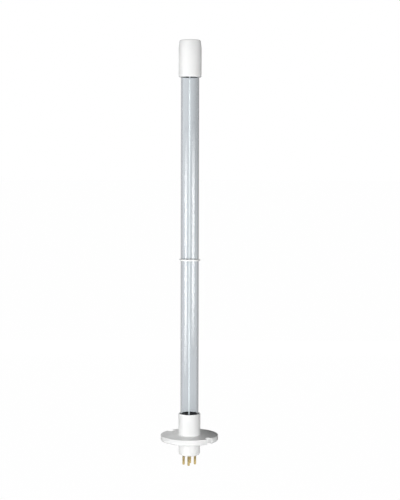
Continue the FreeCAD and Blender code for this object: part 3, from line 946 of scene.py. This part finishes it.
def bake_modifiers(piece: bpy.types.Object) -> None:
    """Turn a piece's modifiers into its mesh.

    Args:
        piece: the piece, which keeps its name and place.
    """
    bpy.context.view_layer.update()
    graph = bpy.context.evaluated_depsgraph_get()
    mesh = bpy.data.meshes.new_from_object(piece.evaluated_get(graph))
    piece.modifiers.clear()
    piece.data = mesh
    shade_cleanly(mesh)


@dataclass
class InnerWorks:
    """The pieces whose solids already have their true form: leads, foils, coils, crimps and cement."""

    def finishes(self) -> dict[str, Finishes]:
        """The finish of each kept node.

        Returns:
            Finishes by the start of the nodes' names.
        """
        return {
            # The cements' near-black finish paints the shade inside the cap's and collar's mouths.
            "base_cement": Finishes.CEMENT,
            "cap_cement": Finishes.CEMENT,
            "ring_cement": Finishes.CEMENT,
            "amalgam_pellet": Finishes.AMALGAM,
            "lower_filament": Finishes.TUNGSTEN,
            "upper_filament": Finishes.TUNGSTEN,
            "lower_support": Finishes.NICKEL,
            "upper_support": Finishes.NICKEL,
            "lower_foil": Finishes.MOLYBDENUM,
            "upper_foil": Finishes.MOLYBDENUM,
            "lower_outer_lead": Finishes.NICKEL,
            "upper_outer_lead": Finishes.NICKEL,
            "return_lead": Finishes.COATED_WIRE,
            "crimp_sleeve": Finishes.NICKEL,
        }

    def build(self) -> None:
        """Give each kept node its material."""
        for start, finish in self.finishes().items():
            for name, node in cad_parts.items():
                if not name.startswith(start):
                    continue
                if not node.material_slots:
                    node.data.materials.append(finish.material)
                for holder in node.material_slots:
                    holder.material = finish.material
                log.info("%s: %s", name, finish.value.name)


@dataclass(frozen=True)
class SoftBox:
    """Flat soft light that faces the lamp; the glow strips stand for it where gloss would show it.

    Its azimuth is in degrees from the camera's side and its elevation in degrees over the level. It aims at
    the height aim on the lamp's axis. Its sizes are in metres and its power is in watts.
    """

    name: str
    azimuth: float
    elevation: float
    distance: float
    aim: float
    width: float
    height: float
    power: float

    def build(self, heading: Callable[[float], Vector]) -> None:
        """Make the light.

        Args:
            heading: gives the level direction at an azimuth in radians.
        """
        data = bpy.data.lights.new(self.name, "AREA")
        data.shape = "RECTANGLE"
        data.size, data.size_y = self.width, self.height
        data.energy = self.power
        rise = math.radians(self.elevation)
        facing = heading(math.radians(self.azimuth)) * math.cos(rise) + Vector((0, 0, math.sin(rise)))
        light = bpy.data.objects.new(self.name, data)
        light.location = facing * self.distance + Vector((0, 0, self.aim))
        light.rotation_euler = facing.to_track_quat("Z", "Y").to_euler()
        light.visible_camera = False
        light.visible_glossy = False
        bpy.context.scene.collection.objects.link(light)


@dataclass(frozen=True)
class Card:
    """Curved, graded card round the lamp that only glass or only gloss shows, as a room's walls.

    Each row is a distance from the lamp's axis and a height, in metres, with the share of the high level
    that it shows. Each column is an azimuth in degrees from the camera's side, with how light the card is
    there low down and high up; 1 is white.
    """

    name: str
    for_glass: bool
    rows: tuple[tuple[float, float, float], ...]
    columns: tuple[tuple[float, float, float], ...]
    layer: str = "level"

    def build(self, heading: Callable[[float], Vector]) -> None:
        """Make the card.

        Args:
            heading: gives the level direction at an azimuth in radians.
        """
        shape = bmesh.new()
        shade = shape.verts.layers.float.new(self.layer)
        lines = []
        for azimuth, low, high in self.columns:
            facing = heading(math.radians(azimuth))
            line = []
            for distance, height, share in self.rows:
                vertex = shape.verts.new((facing.x * distance, facing.y * distance, height))
                vertex[shade] = low + (high - low) * share
                line.append(vertex)
            lines.append(line)
        for one, two in zip(lines, lines[1:]):
            for place in range(len(one) - 1):
                shape.faces.new((one[place], two[place], two[place + 1], one[place + 1]))
        card = link_mesh(self.name, shape)
        material = blank_material(self.name)
        tree = material.node_tree
        level = add_node(tree, "ShaderNodeAttribute", {"attribute_name": self.layer}).outputs["Fac"]
        glow = add_node(tree, "ShaderNodeEmission", inputs={"Strength": level})
        add_node(tree, "ShaderNodeOutputMaterial", inputs={"Surface": glow.outputs[0]})
        card.data.materials.append(material)
        card.visible_camera = False
        card.visible_diffuse = False
        card.visible_transmission = self.for_glass
        card.visible_glossy = not self.for_glass
        card.visible_shadow = False


# The two boxes and the wall light the lamp; the rest lift its foot, its back and the cap's top a little.
SOFT_BOXES = (
    SoftBox("soft_box_left", -66, 0, 0.8, 0.18, 0.32, 0.44, 2.9),
    SoftBox("soft_box_right", 38, 0, 0.8, 0.1, 0.36, 0.36, 2.4),
    SoftBox("front_wall", -13, 0, 1.4, 0.3, 2.4, 0.6, 11.0),
    SoftBox("foot_fill", 4, 0, 0.06, -0.005, 0.08, 0.006, 0.0038),
    SoftBox("back_strip", 180, 0, 0.8, 0.012, 0.8, 0.03, 4.2),
    SoftBox("top_fill", 0, 90, 0.08, 0.366, 0.06, 0.06, 0.016),
)

# Rows: the foot of a wall just over the floor, its lower part, and its top.
GLASS_ROWS = ((0.12, -0.0092, 0), (0.3, -0.0092, 0), (0.3, 0.12, 0), (0.3, 0.3, 1), (0.3, 0.8, 1))
GLOSS_ROWS = ((0.04, -0.0092, 0), (0.3, -0.0092, 0), (0.3, 0.11, 0), (0.3, 0.15, 1), (0.3, 0.8, 1))
# Rows of the floor in front, and of the two strips that give the tube its long highlights.
FRONT_GLASS_ROWS = ((0.12, -0.0092, 0), (0.25, -0.0092, 0), (0.3, -0.0092, 1), (0.3, 0.8, 1))
FRONT_GLOSS_ROWS = ((0.03, -0.0091, 0), (0.25, -0.0091, 0), (0.36, -0.0091, 1))
LEFT_STRIP_ROWS = ((0.5, -0.03, 0), (0.5, 0.07, 1), (0.5, 0.224, 1), (0.5, 0.31, 0))
RIGHT_STRIP_ROWS = ((0.5, 0.02, 0), (0.5, 0.09, 1), (0.5, 0.232, 1), (0.5, 0.317, 0))
# Azimuths of the front cards' columns, and how light the strips are.
FRONT_TURNS = range(-100, 101, 20)
STRIP_GLOW = 12

CARDS = (
    Card(
        "glass_card_left",
        True,
        GLASS_ROWS,
        (
            (-180, 0.64, 0.66), (-176, 0.67, 0.71), (-170, 0.68, 0.74), (-166, 0.64, 0.67),
            (-155, 0.55, 0.57), (-120, 0.62, 0.62), (-100, 0.65, 0.65),
        ),
    ),
    Card(
        "glass_card_right",
        True,
        GLASS_ROWS,
        (
            (180, 0.64, 0.66), (177, 0.61, 0.54), (172, 0.59, 0.39), (166, 0.52, 0.35),
            (155, 0.38, 0.34), (120, 0.5, 0.5), (100, 0.6, 0.6),
        ),
    ),
    Card(
        "gloss_card_left",
        False,
        GLOSS_ROWS,
        ((-180, 0.85, 0.9), (-172, 0.85, 0.9), (-160, 0.6, 0.6), (-145, 0.3, 0.3), (-100, 0.3, 0.3)),
    ),
    Card(
        "gloss_card_right",
        False,
        GLOSS_ROWS,
        ((180, 0.7, 0.9), (178, 0.2, 0.4), (176, 0, 0.25), (160, 0, 0.2), (130, 0.2, 0.2), (100, 0.2, 0.2)),
    ),
    Card("glass_card_front", True, FRONT_GLASS_ROWS, tuple((turn, 0.42, 0.6) for turn in FRONT_TURNS)),
    Card("gloss_card_front", False, FRONT_GLOSS_ROWS, tuple((turn, 0.05, 0.6) for turn in FRONT_TURNS)),
    Card(
        "glow_strip_left",
        False,
        LEFT_STRIP_ROWS,
        ((-69, 0, 0), (-64, 0, STRIP_GLOW), (-38, 0, STRIP_GLOW), (-31, 0, 0)),
    ),
    Card(
        "glow_strip_right",
        False,
        RIGHT_STRIP_ROWS,
        ((26, 0, 0), (31, 0, STRIP_GLOW), (60, 0, STRIP_GLOW), (67, 0, 0)),
    ),
)


@dataclass
class Studio:
    """Pale floor and background, the lights, the cards and the camera.

    Azimuths are measured as seen from above, from the camera's own side: minus is to its left.
    """

    camera_azimuth: float = math.radians(45)
    camera_distance: float = 1.047
    camera_height: float = 0.2475
    camera_pitch: float = math.radians(3.55)
    camera_roll: float = math.radians(-0.15)
    camera_sideways: float = 0.0089
    lens_mm: float = 85.7
    sensor_mm: float = 36.0
    near_clip: float = 0.01
    floor_gap: float = 0.0005
    floor_half: float = 60.0
    floor_shade: str = "#f4f4f3"
    floor_roughness: float = 0.8
    floor_white: float = 0.992
    surround_level: float = 0.07

    def heading(self, azimuth: float) -> Vector:
        """Level direction from the lamp, at an azimuth from the camera's side."""
        turn = self.camera_azimuth + azimuth
        return Vector((math.sin(turn), -math.cos(turn), 0))

    def add_camera(self) -> None:
        """Camera at the photograph's viewing angle."""
        back = self.heading(0)
        right = Vector((-back.y, back.x, 0))
        data = bpy.data.cameras.new("camera")
        data.lens = self.lens_mm
        data.sensor_width = self.sensor_mm
        data.clip_start = self.near_clip
        camera = bpy.data.objects.new("camera", data)
        camera.location = back * self.camera_distance + right * self.camera_sideways
        camera.location.z = self.camera_height
        level = math.pi / 2
        camera.rotation_euler = Euler((level - self.camera_pitch, self.camera_roll, self.camera_azimuth))
        bpy.context.scene.collection.objects.link(camera)
        bpy.context.scene.camera = camera

    def seen(self, tree: bpy.types.NodeTree) -> bpy.types.NodeSocket:
        """One for rays that show the background: from the camera, off gloss or through glass.

        Args:
            tree: node tree of the world or of the floor's material.

        Returns:
            The socket that gives one or nothing.
        """
        ray = add_node(tree, "ShaderNodeLightPath")
        gloss = add_node(
            tree,
            "ShaderNodeMath",
            {"operation": "MAXIMUM"},
            {0: ray.outputs["Is Camera Ray"], 1: ray.outputs["Is Glossy Ray"]},
        )
        both = add_node(
            tree,
            "ShaderNodeMath",
            {"operation": "MAXIMUM"},
            {0: gloss.outputs[0], 1: ray.outputs["Is Transmission Ray"]},
        )
        return both.outputs[0]

    def add_world(self) -> None:
        """White background, and a plain grey surround for everything it lights."""
        world = bpy.data.worlds.new("surround")
        world.use_nodes = True
        tree = world.node_tree
        tree.nodes.clear()
        fill, white = (
            add_node(tree, "ShaderNodeBackground", inputs={"Color": from_hex(WHITE), "Strength": level})
            for level in (self.surround_level, 1.0)
        )
        mixed = add_node(
            tree,
            "ShaderNodeMixShader",
            inputs={0: self.seen(tree), 1: fill.outputs[0], 2: white.outputs[0]},
        )
        add_node(tree, "ShaderNodeOutputWorld", inputs={"Surface": mixed.outputs[0]})
        bpy.context.scene.world = world

    def add_floor(self) -> None:
        """Pale floor just under the pins' tips, white to the camera and with the lamp's shadow."""
        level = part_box("contact_pin_1")[0].z - self.floor_gap
        half = self.floor_half
        shape = bmesh.new()
        corners = ((-half, -half), (half, -half), (half, half), (-half, half))
        shape.faces.new([shape.verts.new((x, y, level)) for x, y in corners])
        floor = link_mesh("floor", shape)
        material = blank_material("painted_floor")
        tree = material.node_tree
        paint = add_node(
            tree,
            "ShaderNodeBsdfPrincipled",
            inputs={"Base Color": from_hex(self.floor_shade), "Roughness": self.floor_roughness},
        )
        glow = add_node(tree, "ShaderNodeEmission", inputs={"Color": from_hex(WHITE)})
        share = add_node(
            tree, "ShaderNodeMath", {"operation": "MULTIPLY"}, {0: self.seen(tree), 1: self.floor_white}
        )
        mixed = add_node(
            tree,
            "ShaderNodeMixShader",
            inputs={0: share.outputs[0], 1: paint.outputs[0], 2: glow.outputs[0]},
        )
        add_node(tree, "ShaderNodeOutputMaterial", inputs={"Surface": mixed.outputs[0]})
        floor.data.materials.append(material)

    def build(self) -> None:
        """Set up the floor, the background, the lights and the camera."""
        self.add_camera()
        self.add_world()
        self.add_floor()
        for box in SOFT_BOXES:
            box.build(self.heading)
        for card in CARDS:
            card.build(self.heading)
        bpy.context.scene.view_settings.view_transform = "Standard"


def main() -> None:
    """Build the lamp's sub-assemblies and the studio in order."""
    logging.basicConfig(level=logging.INFO, format="%(name)s: %(message)s")
    for part in (Studio(), QuartzTube(), TopCap(), CentreRing(), LampBase(), ContactPins(), InnerWorks()):
        part.build()
        log.info("%s done", type(part).__name__)


if __name__ == "__main__":
    main()
